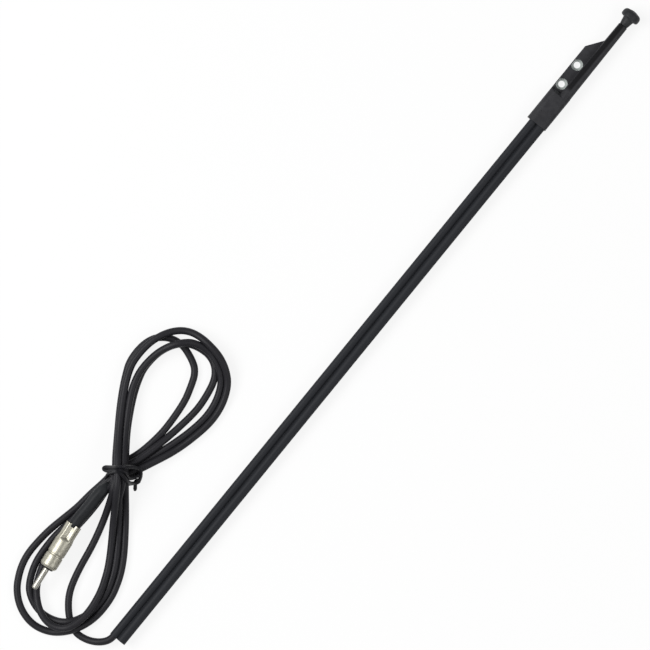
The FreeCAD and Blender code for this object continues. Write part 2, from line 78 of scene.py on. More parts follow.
cable = {
    "diameter": 3.6,
    "bevel": 1.88,  # the radius as drawn
    "exit": (-369.0, -0.95, 5.3),
    "lead": [
        (-371.3, -0.7, 5.3), (-373.8, 0.7, 5.0), (-376.1, 2.9, 4.4), (-378.1, 5.9, 3.4), (-379.5, 9.6, 2.5),
        (-380.1, 14.2, 1.9), (-378.7, 19.2, 1.9), (-373.6, 25.4, 1.9), (-365.95, 31.0, 1.9), (-354.3, 34.3, 1.9),
        (-340.0, 36.6, 1.9), (-326.0, 40.4, 2.4), (-314.0, 44.8, 5.2),
    ],
    # the outermost pass round each lobe, seen from above
    "upperLoop": [
        (-302.5, 50.0), (-296.5, 55.5), (-287.0, 63.0), (-277.5, 69.3), (-268.5, 74.5), (-262.0, 77.5),
        (-254.8, 79.6), (-245.2, 79.8), (-237.5, 78.2), (-230.5, 74.7), (-225.2, 69.2), (-222.9, 62.0),
        (-223.2, 52.8), (-225.0, 45.5), (-228.6, 39.2), (-233.7, 34.5), (-242.8, 30.8), (-253.2, 29.8),
        (-265.0, 31.4), (-277.2, 34.7), (-291.0, 39.6), (-302.0, 44.2),
    ],
    "lowerLoop": [
        (-310.8, 51.3), (-320.2, 53.2), (-329.8, 55.0), (-339.5, 57.0), (-349.0, 58.8),
        (-360.8, 59.6), (-368.2, 58.8), (-374.6, 56.6), (-382.0, 52.2), (-388.0, 44.6), (-390.4, 35.0),
        (-388.0, 25.8), (-382.4, 19.2), (-375.0, 14.6), (-366.0, 12.2), (-355.2, 12.4), (-347.4, 14.4),
        (-340.2, 17.4), (-331.4, 22.8), (-319.6, 31.6), (-311.4, 38.2), (-305.2, 43.3),
    ],
    # how far each pass lies inside it, at each of its points
    "upperInset": {
        "first": [-1.6, -0.9, -0.2, -0.3, -0.5, -0.8, -1.6, -1.6, -0.3, 3.6, 7.9, 10.4, 13.0, 15.8, 17.2, 17.9,
                  18.2, 17.1, 14.7, 11.4, 8.7, 8.0],
        "second": [3.4, 4.1, 4.5, 5.0, 5.6, 6.1, 6.3, 6.6, 6.8, 6.9, 6.6, 5.4, 3.9, 4.3, 6.0, 7.7, 9.2, 9.4, 9.0,
                   7.8, 6.2, 5.8],
        "third": [2.6, 3.4, 3.8, 4.0, 4.2, 4.8, 5.6, 6.3, 6.7, 6.8, 6.2, 4.2, 2.6, 2.8, 3.1, 3.4, 3.5, 3.5, 3.6,
                  3.7, 3.6, 3.6],
        "fourth": [0.0, 0.3, 0.6, 0.6, 0.5, 0.3] + [0.0] * 12 + [0.2, 0.3, 1.2, 1.4],
    },
    "lowerInset": {
        "first": [-1.2, -0.8] + [0.0] * 20,
        "second": [0.6, 2.0, 3.2, 3.65, 4.3, 5.4, 5.9, 6.1, 6.2, 7.0, 7.2, 6.4, 4.8, 4.0, 3.5, 3.3, 3.4, 3.5,
                   3.5, 3.4, 3.4, 1.4],
        "third": [2.2, 4.8, 6.6, 7.9, 8.8, 9.1, 9.8, 10.0, 9.9, 9.2, 7.0, 3.6, 1.6, 3.0, 4.7, 6.1, 6.7, 6.9,
                  6.8, 6.0, 4.8, 3.9],
    },
    # which pass lies on which, and the shares of a loop at which that changes
    "upperLayer": {"first": (1, 1, 1), "second": (2, 1, 3), "third": (3, 3, 1), "fourth": (4, 4, 4)},
    "lowerLayer": {"first": (1, 0), "second": (3, 2), "third": (1, 3)},
    "tailLayer": 5,
    "upperChange": (0.65, 0.85),
    "lowerChange": (0.38,),
    "tail": [(-306.8, 46.8, 5.4), (-311.2, 48.9, 7.6), (-316.0, 49.9, 9.3), (-321.5, 50.2, 9.4), (-328.0, 50.2, 8.9),
             (-336.5, 50.0, 8.5), (-342.0, 49.6, 8.5)],
    "crossing": (-303.5, 49.0),
    "crossingReach": 22.0,
    "tieLift": 1.7,
    "tieLiftReach": 9.0,
    "step": 2.0,
    "controlStep": 4.0,
    "settleRounds": 400,
    "ease": 0.5,  # how far a point moves towards its neighbours' middle in a round
    "sag": 0.02,
    "ownReach": 2.5,  # diameters along itself within which a strand doesn't rest on itself
}

finePerSpan = 24


# even points on a smooth line through the given ones, and the given point that each of them is nearest
def throughPoints(points, spacing):
    line = np.array(points, float)
    ends = np.vstack([2 * line[0] - line[1], line, 2 * line[-1] - line[-2]])
    t = np.linspace(0, 1, finePerSpan, endpoint=False)[:, None]
    parts = []
    for a, b, c, d in zip(ends, ends[1:], ends[2:], ends[3:]):
        parts.append(0.5 * (2 * b + (c - a) * t + (2 * a - 5 * b + 4 * c - d) * t**2 + (3 * b - a - 3 * c + d) * t**3))
    fine = np.vstack(parts + [line[-1:]])
    along = np.concatenate([[0], np.cumsum(np.linalg.norm(np.diff(fine, axis=0), axis=1))])
    stations = np.linspace(0, along[-1], round(along[-1] / spacing) + 1)
    even = np.column_stack([np.interp(stations, along, fine[:, k]) for k in range(3)])
    nearest = np.interp(stations, along, np.arange(len(fine)) / finePerSpan).round().astype(int)
    return even, nearest


# a pass that lies inside the outermost one by a distance at each of its points
def insideLoop(loop, insets, side):
    line = np.array(loop)
    heading = np.gradient(line, axis=0)
    heading /= np.linalg.norm(heading, axis=1)[:, None]
    inward = np.column_stack([heading[:, 1], -heading[:, 0]]) * side
    flat = line + inward * np.resize(insets, len(line))[:, None]
    return np.column_stack([flat, np.full(len(line), cable["bevel"])])


# the cable's line, the lowest that it may lie, its layer, and whether it crosses over at the tie
def cablePlan():
    c = cable
    points = [c["exit"]] + c["lead"]
    layers, crossesOver = [0] * len(points), [True] * len(points)
    for turn in ("first", "second", "third", "fourth"):
        for loop, side in (("upper", 1), ("lower", -1)):
            if turn not in c[loop + "Inset"]:
                continue
            line = insideLoop(c[loop + "Loop"], c[loop + "Inset"][turn], side)
            for share, point in zip(np.linspace(0, 1, len(line)), line):
                points.append(tuple(point))
                layers.append(c[loop + "Layer"][turn][sum(share > change for change in c[loop + "Change"])])
                crossesOver.append((share < 0.5) == (loop == "upper"))
    points += c["tail"]
    layers += [c["tailLayer"]] * len(c["tail"])
    crossesOver += [False] * len(c["tail"])
    even, nearest = throughPoints(points, c["step"])
    plan = even[:, :2]
    lift = c["tieLift"] * np.exp(-(np.linalg.norm(plan - c["crossing"], axis=1) / c["tieLiftReach"]) ** 2)
    low = np.maximum(even[:, 2], c["bevel"] + lift)
    return plan, low, np.array(layers)[nearest], np.array(crossesOver)[nearest]


# heights of a line that sags onto the floor and onto the passes under it
def settled(plan, low, layer, crossesOver):
    c = cable
    apart = np.linalg.norm(plan[:, None] - plan[None], axis=2)
    order = np.arange(len(plan))
    far = np.abs(order[:, None] - order[None]) * c["step"] > c["ownReach"] * c["diameter"]
    above = (layer[:, None] > layer[None]) | ((layer[:, None] == layer[None]) & (order[:, None] > order[None]))
    atTie = np.linalg.norm(plan - c["crossing"], axis=1) < c["crossingReach"]
    mixed = (crossesOver[:, None] != crossesOver[None]) & (atTie[:, None] | atTie[None])
    above = np.where(mixed, crossesOver[:, None], above)
    upper, lower = np.nonzero((apart < c["diameter"]) & far & above)
    need = np.sqrt(c["diameter"] ** 2 - apart[upper, lower] ** 2)
    height = low.copy()
    for _ in range(c["settleRounds"]):
        height[1:-1] += c["ease"] * ((height[:-2] + height[2:]) / 2 - height[1:-1])
        height = np.maximum(height - c["sag"], low)
        np.maximum.at(height, upper, height[lower] + need)
    return height


def makeCable():
    plan, low, layer, crossesOver = cablePlan()
    height = settled(plan, low, layer, crossesOver)
    line = np.column_stack([plan, height])
    leadEnd = np.argmin(np.linalg.norm(plan - cable["lead"][-1][:2], axis=1))
    every = round(cable["controlStep"] / cable["step"])
    control = np.vstack([cable["exit"], cable["lead"][:-1], line[leadEnd:-1:every], line[-1:]]) * mm
    curve = bpy.data.curves.new("cable", "CURVE")
    curve.dimensions = "3D"
    curve.bevel_depth = 1.0  # times each point's radius, which is also what the box of a curve is grown by
    curve.bevel_resolution = 5
    curve.resolution_u = 4
    curve.use_fill_caps = True
    spline = curve.splines.new("NURBS")
    spline.points.add(len(control) - 1)
    for point, place in zip(spline.points, control):
        point.co = (*place, 1.0)
        point.radius = cable["bevel"] * mm
    spline.order_u = 3
    spline.use_endpoint_u = True
    piece = bpy.data.objects.new("cable", curve)
    bpy.context.scene.collection.objects.link(piece)
    steps = np.linalg.norm(np.diff(control, axis=0), axis=1)
    print("cable laid:", len(control), "points,", round(steps.sum(), 3), "m, top at", round(height.max(), 1), "mm")
    return piece


cord = makeCable()


# Shared modelling helpers

weldDistance = 0.001
sharpAngle = 0.5  # radians between two faces, above which their edge is rounded


def meshObject(name, bm):
    mesh = bpy.data.meshes.new(name)
    bm.to_mesh(mesh)
    bm.free()
    made = bpy.data.objects.new(name, mesh)
    bpy.context.scene.collection.objects.link(made)
    return made


def newPiece(name, bm, node=None, body="base", smoothAngle=40.0):
    for face in bm.faces:
        face.smooth = True
    piece = meshObject(name, bm)
    piece.data.set_sharp_from_angle(angle=math.radians(smoothAngle))
    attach(piece, body)
    if node:
        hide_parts(node)
    return piece


# how far a value has come from low to high, from 0 to 1
def shareBetween(value, low, high):
    return min(max((value - low) / (high - low), 0.0), 1.0)


def bell(distance, width):
    return math.exp(-((distance / width) ** 2))


# 1 and a sum of sines, each a row of its size, its rate and its start
def ripple(rows, at):
    return 1 + sum(size * math.sin(rate * at + start) for size, rate, start in rows)


def smoothLine(points, spacing):
    return [Vector(place) for place in throughPoints(points, spacing)[0]]


# a half outline of stations and radii, turned about the local x axis
def spun(outline, segments):
    bm = bmesh.new()
    points = [bm.verts.new((x, 0.0, radius)) for x, radius in outline]
    edges = [bm.edges.new(pair) for pair in zip(points, points[1:])]
    bmesh.ops.spin(bm, geom=points + edges, cent=(0, 0, 0), axis=(1, 0, 0), angle=math.tau, steps=segments,
                   use_merge=True)
    bmesh.ops.remove_doubles(bm, verts=bm.verts, dist=weldDistance)
    bmesh.ops.recalc_face_normals(bm, faces=bm.faces)
    return bm


# a spun outline with its sharp edges rounded, set in its place
def turnedPiece(name, outline, segments, rounding, place, **facts):
    bm = spun(outline, segments)
    sharp = [edge for edge in bm.edges if edge.calc_face_angle(0) > sharpAngle]
    bmesh.ops.bevel(bm, geom=sharp, offset=rounding, segments=2, profile=0.5, affect="EDGES", material=-1)
    bmesh.ops.transform(bm, matrix=place, verts=bm.verts)
    return newPiece(name, bm, **facts)


# rings of one section, each placed by its matrix and scales, bridged into a closed bar
def sweptRings(places, sides, shape):
    bm = bmesh.new()
    rings = []
    for place, scaleY, scaleZ in places:
        made = bmesh.ops.create_circle(bm, segments=sides, radius=1.0, matrix=Matrix.Rotation(math.pi / 2, 4, "Y"))
        ring = made["verts"]
        for vert in ring:
            vert.co = place @ shape(vert.co, scaleY, scaleZ)
        rings.append(list({edge for vert in ring for edge in vert.link_edges}))
    for first, second in zip(rings, rings[1:]):
        bmesh.ops.bridge_loops(bm, edges=first + second)
    for ring in (rings[0], rings[-1]):
        bmesh.ops.contextual_create(bm, geom=ring)
    bmesh.ops.recalc_face_normals(bm, faces=bm.faces)
    return bm


# frames along a line: x forward, z as near as can be to the given outward direction
def framesAlong(points, outward):
    places = []
    for i, point in enumerate(points):
        ahead = (points[min(i + 1, len(points) - 1)] - points[max(i - 1, 0)]).normalized()
        side = outward[i].cross(ahead).normalized()
        top = ahead.cross(side)
        places.append(Matrix.Translation(point) @ Matrix((ahead, side, top)).transposed().to_4x4())
    return places


# Wire tie: a flat coated wire that goes twice round the crossing

tie = {
    "halfWidth": 1.0,
    "halfThickness": 0.85,
    "line": [
        (-296.5, 41.1, 8.0), (-298.4, 41.4, 8.8), (-300.4, 42.5, 10.8), (-301.5, 44.4, 13.8), (-300.4, 47.2, 17.0),
        (-300.9, 49.9, 18.2), (-303.2, 52.4, 14.0), (-305.3, 54.5, 10.0), (-306.1, 56.0, 8.2), (-305.9, 56.9, 7.8),
        (-304.9, 56.9, 8.4), (-303.6, 55.4, 10.4), (-302.1, 53.6, 14.0), (-300.2, 51.7, 18.0), (-298.2, 49.4, 17.8),
        (-296.5, 47.0, 15.2), (-294.9, 44.5, 12.0), (-294.5, 42.5, 9.8), (-295.6, 40.9, 8.6), (-297.5, 39.7, 6.2),
        (-299.8, 39.1, 3.6), (-301.8, 40.1, 1.8), (-304.4, 42.4, 1.1), (-307.6, 46.4, 1.1), (-309.7, 49.6, 1.2),
        (-309.8, 51.6, 2.6), (-308.3, 53.0, 5.8), (-306.5, 53.4, 9.0), (-304.3, 52.2, 13.4), (-302.4, 50.7, 17.8),
        (-301.9, 48.8, 18.2), (-302.4, 46.2, 17.4), (-303.0, 43.7, 14.9), (-302.9, 41.8, 10.8), (-301.9, 40.3, 7.6),
        (-300.4, 39.1, 6.8), (-299.3, 39.0, 7.0), (-299.6, 39.8, 7.4), (-300.8, 40.1, 6.8), (-302.1, 39.3, 5.6),
        (-303.4, 38.4, 4.2), (-304.6, 37.6, 3.2),
    ],
    "inside": (-301.5, 48.5, 8.0),
    "step": 0.45,
    "sides": 16,
    "endShare": 0.7,
    "endSteps": 2,
    "ribHeight": 0.2,
    "ribHalfWidth": 0.5,
    "plainEdge": 0.2,
}


# the wire shows as a low rib along the middle of its coating
def tieSection(co, scaleY, scaleZ):
    rib = tie["ribHeight"] * max(0.0, 1.0 - (co.y / tie["ribHalfWidth"]) ** 2)
    lift = math.copysign(rib, co.z) if abs(co.z) > tie["plainEdge"] else 0.0
    return Vector((0.0, co.y * scaleY, (co.z + lift) * scaleZ))


def makeTie():
    t = tie
    points = smoothLine(t["line"], t["step"])
    outward = [(point - Vector(t["inside"])).normalized() for point in points]
    places = []
    for i, frameAt in enumerate(framesAlong(points, outward)):
        fromEnd = shareBetween(min(i, len(points) - 1 - i), 0, t["endSteps"])
        shrink = t["endShare"] + (1 - t["endShare"]) * fromEnd
        places.append((frameAt, t["halfWidth"] * shrink, t["halfThickness"] * shrink))
    bm = sweptRings(places, t["sides"], tieSection)
    bmesh.ops.scale(bm, vec=(mm, mm, mm), verts=bm.verts)
    return newPiece("wireTie", bm, "cable_tie")


wireTie = makeTie()
print("wire tie made")


# Plug: pin, insulator, pressed shell and soft boot, drawn with their tip at the origin

plug = {
    "tip": (-375.8, 45.8, 8.5),
    "turn": 7.0,
    "segments": 128,
    "rounding": 0.04,
    "pinOutline": [
        (0.45, 0.0), (0.45, 0.32), (0.16, 0.42), (0.02, 0.68), (0.06, 0.98), (0.3, 1.27), (0.72, 1.46), (1.25, 1.55),
        (10.4, 1.55), (10.7, 1.62), (11.0, 1.62), (11.2, 1.55), (12.15, 1.55), (12.2, 1.8), (17.0, 1.8), (17.0, 0.0),
    ],
    "insulatorOutline": [
        (12.2, 1.82), (12.2, 2.9), (12.3, 3.1), (12.55, 3.3), (13.6, 3.3), (13.6, 3.85), (17.2, 3.85), (17.2, 1.82),
        (12.2, 1.82),
    ],
    "shellOutline": [
        (13.25, 3.36), (13.0, 3.42), (12.96, 3.62), (13.1, 3.82), (13.9, 4.46), (14.15, 4.58), (14.5, 4.62),
        (17.2, 4.62), (19.7, 4.62), (20.0, 4.56), (20.25, 4.28), (20.6, 4.2), (20.95, 4.28), (21.2, 4.56),
        (21.5, 4.62), (23.0, 4.62), (25.0, 4.62), (27.0, 4.62), (28.4, 4.6), (29.2, 4.56), (29.8, 4.48),
        (30.4, 4.36), (31.0, 4.26), (31.7, 4.2), (32.5, 4.17), (33.5, 4.16), (34.5, 4.16), (35.5, 4.16),
        (36.5, 4.17), (37.5, 4.18), (38.2, 4.2), (38.5, 4.2),
    ],
    "shellStep": 0.3,
    "shellWall": 0.5,
    "shellSmooth": 32.0,
    "slotStart": 36.9,
    "slotHalfAngle": 0.3,
    # angles in the crimp are radians from the top of the shell
    "crimp": {
        "from": (28.6, 31.6),
        "grooveDepth": 1.0,
        "grooveWidth": 0.34,
        "folds": [(0.32, 0.6, 0.2), (-0.12, 0.88, 0.09), (0.16, 1.08, 0.1)],  # height, angle, width
        "dents": [(0.5, 30.2, 0.75, 0.42, 0.2), (0.45, 30.9, 0.7, 0.0, 0.2)],  # depth, station, reach, angle, width
    },
}

plugPlace = Matrix.Scale(mm, 4) @ Matrix.Translation(plug["tip"]) @ Matrix.Rotation(math.radians(plug["turn"]), 4, "Z")


# the crimp pinches the shell behind its body: a groove along the top, folds beside it, and dents where it starts
def crimped(co):
    c = plug["crimp"]
    share = shareBetween(co.x, *c["from"])
    share *= share * (3 - 2 * share)
    fromTop = abs(math.atan2(co.y, co.z))
    groove = c["grooveDepth"] * math.exp(-((fromTop / c["grooveWidth"]) ** 3))
    folds = sum(height * bell(fromTop - angle, width) for height, angle, width in c["folds"])
    dents = sum(depth * bell(co.x - station, reach) * bell(fromTop - angle, width)
                for depth, station, reach, angle, width in c["dents"])
    scale = 1 + (share * (folds - groove) - dents) / math.hypot(co.y, co.z)
    return Vector((co.x, co.y * scale, co.z * scale))


def makeShell():
    p = plug
    outline = []
    for start, end in zip(p["shellOutline"], p["shellOutline"][1:]):
        cuts = math.ceil(math.dist(start, end) / p["shellStep"])
        outline += [(start[0] + (end[0] - start[0]) * k / cuts, start[1] + (end[1] - start[1]) * k / cuts)
                    for k in range(cuts)]
    bm = spun(outline + p["shellOutline"][-1:], p["segments"])
    for vert in bm.verts:
        vert.co = crimped(vert.co)
    slot = []
    for face in bm.faces:
        middle = face.calc_center_median()
        if middle.x > p["slotStart"] and abs(math.atan2(middle.y, middle.z)) < p["slotHalfAngle"]:
            slot.append(face)
    bmesh.ops.delete(bm, geom=slot, context="FACES")
    bmesh.ops.solidify(bm, geom=bm.faces, thickness=p["shellWall"])
    bmesh.ops.recalc_face_normals(bm, faces=bm.faces)
    bmesh.ops.transform(bm, matrix=plugPlace, verts=bm.verts)
    return newPiece("plugShell", bm, "plug_shell", smoothAngle=p["shellSmooth"])


boot = {
    "line": [
        (31.2, 0.0, 0.0), (35.0, 0.0, 0.0), (38.5, 0.0, 0.05), (44.0, -0.5, 0.15), (50.4, -1.4, 0.4), (56.0, -2.0, 0.9),
        (61.0, -2.9, 0.9), (65.2, -4.6, -0.2),
    ],
    "insideRadius": 3.0,
    "radius": 3.25,
    "swell": (38.0, 40.0),  # where it grows from the one radius to the other
    "endRadius": 2.1,
    "endLength": 4.5,
    "flat": 0.98,
    "waves": [(0.008, 1.3, 0.0), (0.006, 2.9, 1.0)],
    "folds": [(0.012, 3, 0.8), (0.008, 7, 0.0)],
    "step": 0.6,
    "sides": 48,
}


def bootSection(co, scaleY, scaleZ):
    fold = ripple(boot["folds"], math.atan2(co.y, co.z))
    return Vector((0.0, co.y * scaleY * fold, co.z * scaleZ * fold))


def makeBoot():
    b = boot
    points = smoothLine(b["line"], b["step"])
    places = []
    for point, frameAt in zip(points, framesAlong(points, [skyward] * len(points))):
        swollen = b["insideRadius"] + (b["radius"] - b["insideRadius"]) * shareBetween(point.x, *b["swell"])
        toEnd = shareBetween((points[-1] - point).length, 0.0, b["endLength"])
        radius = min(swollen, b["endRadius"] + (b["radius"] - b["endRadius"]) * math.sqrt(toEnd))
        places.append((frameAt, radius * ripple(b["waves"], point.x), radius * b["flat"]))
    bm = sweptRings(places, b["sides"], bootSection)
    bmesh.ops.transform(bm, matrix=plugPlace, verts=bm.verts)
    return newPiece("plugBoot", bm, "plug_boot")


plugPin = turnedPiece("plugPin", plug["pinOutline"], plug["segments"], plug["rounding"], plugPlace, node="plug_pin")
plugInsulator = turnedPiece("plugInsulator", plug["insulatorOutline"], plug["segments"], plug["rounding"], plugPlace,
                            node="plug_insulator")
plugShell = makeShell()
plugBoot = makeBoot()
print("plug and boot made")


# Painted shade at the knob: a thin black ring under the knob, in the gap that the knob keeps from the barrel when the
# mast is in, so that the gap shows dark

gapShadeRing = {
    "inside": 1.0,
    "outside": 2.2,
    "thickness": 0.24,
    "rounding": 0.05,
    "segments": 64,
}


def makeGapShadeRing():
    w = gapShadeRing
    low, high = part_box("mast_knob")
    foot = (low + high) / 2 / mm
    foot.x = low.x / mm - w["thickness"]
    outline = [(0.0, w["inside"]), (0.0, w["outside"]), (w["thickness"], w["outside"]), (w["thickness"], w["inside"]),
               (0.0, w["inside"])]
    place = Matrix.Scale(mm, 4) @ Matrix.Translation(foot)
    turnedPiece("knobGapShadeRing", outline, w["segments"], w["rounding"], place, body="top_section")


makeGapShadeRing()
print("knob washer made")

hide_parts("cable_lead", "cable_hank")
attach(cord, "base")


# Finishes: every one is made of nodes on Object coordinates

class Wire:
    def __init__(self, finish, socket):
        self.finish = finish
        self.socket = socket

    def maths(self, operation, *values):
        return self.finish.node("Math", {"operation": operation}, dict(enumerate(values)))

    def __add__(self, other):
        return self.maths("ADD", self, other)

    def __sub__(self, other):
        return self.maths("SUBTRACT", self, other)

    def __mul__(self, other):
        return self.maths("MULTIPLY", self, other)

    def __radd__(self, other):
        return self.maths("ADD", other, self)

    def __rsub__(self, other):
        return self.maths("SUBTRACT", other, self)

    def __rmul__(self, other):
        return self.maths("MULTIPLY", other, self)

    def between(self, low, high):
        settings = {"interpolation_type": "SMOOTHSTEP"}
        return self.finish.node("MapRange", settings, {"Value": self, "From Min": low, "From Max": high})


class Finish:
    def __init__(self, name, **constants):
        self.material = bpy.data.materials.new(name)
        self.material.use_nodes = True
        self.tree = self.material.node_tree
        self.shader = self.tree.nodes["Principled BSDF"]
        self.coordinates = self.node("TexCoord", {}, {}, "Object")
        for socket, value in constants.items():
            self.shader.inputs[socket.replace("_", " ")].default_value = value

    def node(self, kind, settings, inputs, output=0):
        made = self.tree.nodes.new("ShaderNode" + kind)
        for key, value in settings.items():
            setattr(made, key, value)
        for key, value in inputs.items():
            self.feed(made.inputs[key], value)
        return Wire(self, made.outputs[output])

    def feed(self, socket, value):
        if isinstance(value, Wire):
            self.tree.links.new(value.socket, socket)
        else:
            socket.default_value = value

    def set(self, **sockets):
        for socket, value in sockets.items():
            self.feed(self.shader.inputs[socket.replace("_", " ")], value)

    # the texture type of Mapping turns first and then divides by its scale
    def stretched(self, scale, turn=0.0):
        inputs = {"Vector": self.coordinates, "Scale": [1 / share for share in scale],
                  "Rotation": (0.0, 0.0, math.radians(turn))}
        return self.node("Mapping", {"vector_type": "TEXTURE"}, inputs)

    def place(self, axis):
        return self.node("SeparateXYZ", {}, {"Vector": self.coordinates}, axis)

    def noise(self, size, detail=3.0, rough=0.5, along=None):
        inputs = {"Vector": along or self.coordinates, "Scale": 1 / (size * mm), "Detail": detail, "Roughness": rough}
        return self.node("TexNoise", {}, inputs)

    # sockets 6 and 7 of Mix, and its output 2, are its colours
    def blend(self, mask, first, second):
        first, second = (colour if isinstance(colour, Wire) else (*colour, 1.0) for colour in (first, second))
        return self.node("Mix", {"data_type": "RGBA"}, {0: mask, 6: first, 7: second}, 2)

    def bumped(self, height, depth):
        self.set(Normal=self.node("Bump", {}, {"Height": height, "Distance": depth * mm}))


plasticMarks = {"cloud": 4.0, "scuff": 1.1, "scuffStretch": (0.35, 1.6, 1.0), "scuffTurn": 24.0}
blackPlastic = {
    "bracket": {"colour": (0.025, 0.025, 0.028), "worn": (0.044, 0.044, 0.048), "gloss": 0.50, "grain": 0.16,
                "depth": 0.012},
    "knob": {"colour": (0.022, 0.023, 0.025), "worn": (0.044, 0.045, 0.048), "gloss": 0.46, "grain": 0.18,
             "depth": 0.012},
    "tie": {"colour": (0.007, 0.007, 0.009), "worn": (0.017, 0.017, 0.020), "gloss": 0.34, "grain": 0.4,
            "depth": 0.02},
    "insulator": {"colour": (0.006, 0.006, 0.007), "worn": (0.012, 0.012, 0.013), "gloss": 0.55, "grain": 0.2,
                  "depth": 0.01},
    "boot": {"colour": (0.014, 0.015, 0.017), "worn": (0.024, 0.026, 0.029), "gloss": 0.48, "grain": 0.7,
             "depth": 0.05},
}


# painted shade on the flank of the barrel beside the flange: a darker, duller band from its foot to near its crest
paintedFlankShade = {
    "from": (-8.0, -5.0),
    "foot": (-2.9, -3.6),
    "crest": (-5.2, -6.3),
    "taper": -0.0093,
    "colour": (0.005, 0.005, 0.006),
    "dull": 0.22,
}


# where the painted shade lies: along the barrel, between the foot of its flank and near its crest
def paintedShadeMask(finish):
    across = finish.place("Y") - finish.place("X") * paintedFlankShade["taper"]
    start, foot, crest = ([edge * mm for edge in paintedFlankShade[key]] for key in ("from", "foot", "crest"))
    beside = (1 - across.between(foot[1], foot[0])) * across.between(crest[1], crest[0])
    return finish.place("X").between(*start) * beside


# moulded plastic: a fine eroded grain, cloudy tone, thin scuffs and a gloss that changes with all three
def mouldedPlastic(name):
    p, marks = blackPlastic[name], plasticMarks
    finish = Finish(name + "Plastic", IOR=1.45, Specular_IOR_Level=0.2)
    grain = finish.noise(p["grain"], 2.0, 0.6)
    cloud = finish.noise(marks["cloud"], 4.0, 0.6)
    brushed = finish.stretched(marks["scuffStretch"], marks["scuffTurn"])
    scuff = finish.noise(marks["scuff"], 6.0, 0.72, brushed).between(0.60, 0.74)
    worn = cloud.between(0.35, 0.7) * 0.5 + scuff * 0.35
    colour = finish.blend(worn, p["colour"], p["worn"])
    rough = p["gloss"] + cloud * 0.14 + scuff * 0.1 - grain * 0.06
    # on the bracket, painted shade: the barrel's flank beside the flange is made darker and duller
    if name == "bracket":
        mask = paintedShadeMask(finish)
        colour = finish.blend(mask, colour, paintedFlankShade["colour"])
        rough = rough + mask * paintedFlankShade["dull"]
    finish.set(Base_Color=colour, Roughness=rough)
    finish.bumped(grain + scuff * 0.4 + cloud * 0.6, p["depth"])
    return finish.material


sheathVinyl = {
    "colour": (0.013, 0.014, 0.017),
    "dusty": (0.026, 0.028, 0.033),
    "gloss": 0.44,
    "lines": 0.5,
    "lineStretch": (0.012, 1.0, 1.0),
    "chatter": 2.4,
    "chatterStretch": (1.0, 0.25, 0.25),
    "cloud": 14.0,
    "dust": 0.35,
    "depth": 0.03,
}


# extruded sheath: lines that run along it, faint chatter across, dust in the tone
def extrudedVinyl():
    s = sheathVinyl
    finish = Finish("sheathVinyl", IOR=1.45, Specular_IOR_Level=0.2)
    lines = finish.noise(s["lines"], 3.0, 0.6, finish.stretched(s["lineStretch"]))
    chatter = finish.noise(s["chatter"], 3.0, 0.55, finish.stretched(s["chatterStretch"]))
    cloud = finish.noise(s["cloud"], 4.0, 0.6)
    dust = finish.noise(s["dust"], 4.0, 0.7).between(0.58, 0.72)
    tone = lines.between(0.3, 0.7) * 0.4 + cloud * 0.3 + dust * 0.2
    finish.set(Base_Color=finish.blend(tone, s["colour"], s["dusty"]),
               Roughness=s["gloss"] + lines * 0.12 + cloud * 0.12 + dust * 0.08)
    finish.bumped(lines * 0.8 + chatter * 0.5 + dust * 0.1, s["depth"])
    return finish.material


jacket = {
    "colour": (0.011, 0.011, 0.013),
    "rubbed": (0.027, 0.026, 0.031),
    "gloss": 0.40,
    "dimples": 0.9,
    "cloud": 11.0,
    "rub": 2.2,
    "depth": 0.025,
}


# cable jacket: soft sheen, small dimples of the extrusion, a few pale rub marks
def cableJacket():
    j = jacket
    finish = Finish("cableJacket", IOR=1.45, Specular_IOR_Level=0.22)
    dimples = finish.noise(j["dimples"], 3.0, 0.55)
    cloud = finish.noise(j["cloud"], 3.0, 0.6)
    rub = finish.noise(j["rub"], 5.0, 0.7).between(0.6, 0.75)
    tone = cloud * 0.5 + rub * 0.25 + dimples * 0.15
    finish.set(Base_Color=finish.blend(tone, j["colour"], j["rubbed"]),
               Roughness=j["gloss"] + cloud * 0.14 + rub * 0.12)
    finish.bumped(dimples + rub * 0.3, j["depth"])
    return finish.material


metalMarks = {"cloud": 3.2, "pits": 0.28}
metals = {
    "shellNickel": {"colour": (0.50, 0.485, 0.41), "dull": (0.30, 0.28, 0.22), "gloss": 0.35, "grain": 0.5,
                    "stretch": (0.05, 1.0, 1.0), "turn": 7.0, "depth": 0.035},
    "pinNickel": {"colour": (0.52, 0.51, 0.46), "dull": (0.32, 0.30, 0.26), "gloss": 0.34, "grain": 0.4,
                  "stretch": (0.05, 1.0, 1.0), "turn": 7.0, "depth": 0.01},
    "zincPlate": {"colour": (0.80, 0.86, 0.83), "dull": (0.60, 0.67, 0.63), "gloss": 0.36, "grain": 0.5,
                  "stretch": (0.25, 1.0, 1.0), "turn": 0.0, "depth": 0.015},
    "brassTube": {"colour": (0.36, 0.31, 0.20), "dull": (0.22, 0.18, 0.11), "gloss": 0.38, "grain": 0.3,
                  "stretch": (0.03, 1.0, 1.0), "turn": 0.0, "depth": 0.01},
    "chromeTube": {"colour": (0.66, 0.67, 0.68), "dull": (0.46, 0.47, 0.48), "gloss": 0.1, "grain": 0.25,
                   "stretch": (0.03, 1.0, 1.0), "turn": 0.0, "depth": 0.004},
    "bronze": {"colour": (0.66, 0.46, 0.26), "dull": (0.40, 0.25, 0.13), "gloss": 0.3, "grain": 0.3,
               "stretch": (1.0, 0.2, 0.2), "turn": 0.0, "depth": 0.01},
    "copper": {"colour": (0.78, 0.46, 0.32), "dull": (0.46, 0.24, 0.15), "gloss": 0.28, "grain": 0.2,
               "stretch": (0.2, 1.0, 1.0), "turn": 0.0, "depth": 0.01},
}


